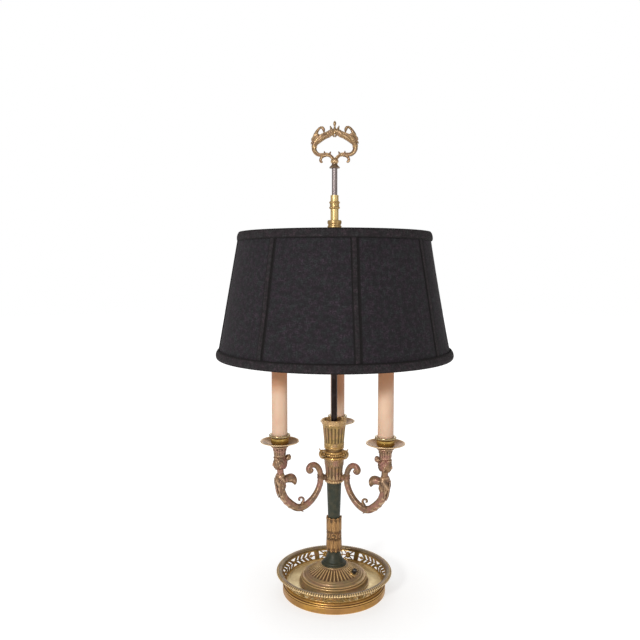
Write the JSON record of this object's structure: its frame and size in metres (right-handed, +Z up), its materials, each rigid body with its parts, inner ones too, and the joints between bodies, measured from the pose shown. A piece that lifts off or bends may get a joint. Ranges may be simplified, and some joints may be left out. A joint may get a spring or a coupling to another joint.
{
  "type": "bouillotte lamp",
  "caption": "Bouillotte table lamp: pierced gallery tray, fluted column, three figural scroll arms with candle lights, sliding drum shade and swan handle.",
  "frame": {"origin": "on the table, under the column's axis", "axes": "+Z up along the column; the first arm points to +Y, away from the viewer; the handle's loop lies in the XZ plane and the lamp's front faces -Y"},
  "size_m": [0.3428, 0.3428, 0.6894],
  "materials": {
    "felt": "napped",
    "plain_steel": "satin",
    "tray_brass": "aged gilt",
    "black_bakelite": "satin",
    "foot_brass": "aged gilt",
    "nut_brass": "lacquered",
    "green_patina": "dark green patina",
    "gilt_relief": "aged gilt with dark recesses",
    "wire_insulation": "satin",
    "arm_bronze": "copper-brown patina",
    "pan_brass": "rosy aged brass",
    "cup_brass": "satin brass",
    "ivory_card": "matt",
    "socket_porcelain": "glazed",
    "screw_shell": "nickelled",
    "bulb_glass": "frosted",
    "rod_steel": "dark",
    "swan_brass": "aged gilt",
    "shade_wire": "brassed wire",
    "lining_cloth": "champagne silk",
    "shade_cloth": "charcoal silk weave",
    "shade_braid": "rolled braid"
  },
  "bodies": {
    "root": {"base_felt": "felt", "base_plate": "plain_steel", "tray_pan": "tray_brass", "tray_gallery": "tray_brass", "gallery_rim": "tray_brass", "cord_bush": "black_bakelite", "foot_dome": "foot_brass", "switch_body": "black_bakelite", "switch_nut": "nut_brass", "column_bell": "green_patina", "column_sleeve": "gilt_relief", "column_shaft": "green_patina", "arm_hub": "gilt_relief", "hub_ring": "gilt_relief", "urn_cup": "gilt_relief", "lamp_pipe": "nut_brass", "pipe_nut": "plain_steel", "pipe_washer": "plain_steel", "stack_nut": "nut_brass", "column_wire": "wire_insulation", "candle_arm_1": "arm_bronze", "candle_arm_2": "arm_bronze", "candle_arm_3": "arm_bronze", "arm_bolts": "plain_steel", "cup_nipples": "nut_brass", "drip_pan_1": "pan_brass", "drip_pan_2": "pan_brass", "drip_pan_3": "pan_brass", "candle_cup_1": "cup_brass", "candle_cup_2": "cup_brass", "candle_cup_3": "cup_brass", "candle_sleeve_1": "ivory_card", "candle_sleeve_2": "ivory_card", "candle_sleeve_3": "ivory_card", "lamp_socket_1": "socket_porcelain", "lamp_socket_2": "socket_porcelain", "lamp_socket_3": "socket_porcelain", "bulb_base_1": "screw_shell", "bulb_base_2": "screw_shell", "bulb_base_3": "screw_shell", "bulb_glass_1": "bulb_glass", "bulb_glass_2": "bulb_glass", "bulb_glass_3": "bulb_glass", "centre_rod": "rod_steel", "handle_ferrule": "nut_brass", "swan_handle": "swan_brass"},
    "switch_knob": {"switch_knob": "black_bakelite"},
    "carrier": {"shade_carrier": "nut_brass", "spider_nut": "nut_brass"},
    "collet_nut": {"collet_nut": "nut_brass"},
    "shade": {"shade_spider": "shade_wire", "shade_top_ring": "shade_wire", "shade_bottom_ring": "shade_wire", "shade_ribs": "shade_wire", "shade_lining": "lining_cloth", "shade_fabric": "shade_cloth", "shade_top_trim": "shade_braid", "shade_bottom_trim": "shade_braid", "rib_trims": "shade_braid"}
  },
  "joints": [
    {"name": "shade_height", "type": "slide", "parent": "root", "child": "carrier", "axis": [0, 0, 1], "range_m": [-0.07, 0.035]},
    {"name": "shade_turn", "type": "hinge", "parent": "carrier", "child": "shade", "pos_m": [0, 0, 0.5365], "axis": [0, 0, 1], "continuous": true},
    {"name": "collet_turn", "type": "hinge", "parent": "carrier", "child": "collet_nut", "pos_m": [0, 0, 0.5705], "axis": [0, 0, 1], "range_deg": [0, 180]},
    {"name": "switch_turn", "type": "hinge", "parent": "root", "child": "switch_knob", "pos_m": [0.02905, -0.0148, 0.03266], "axis": [0.45, -0.2293, 0.8631], "continuous": true}
  ]
}
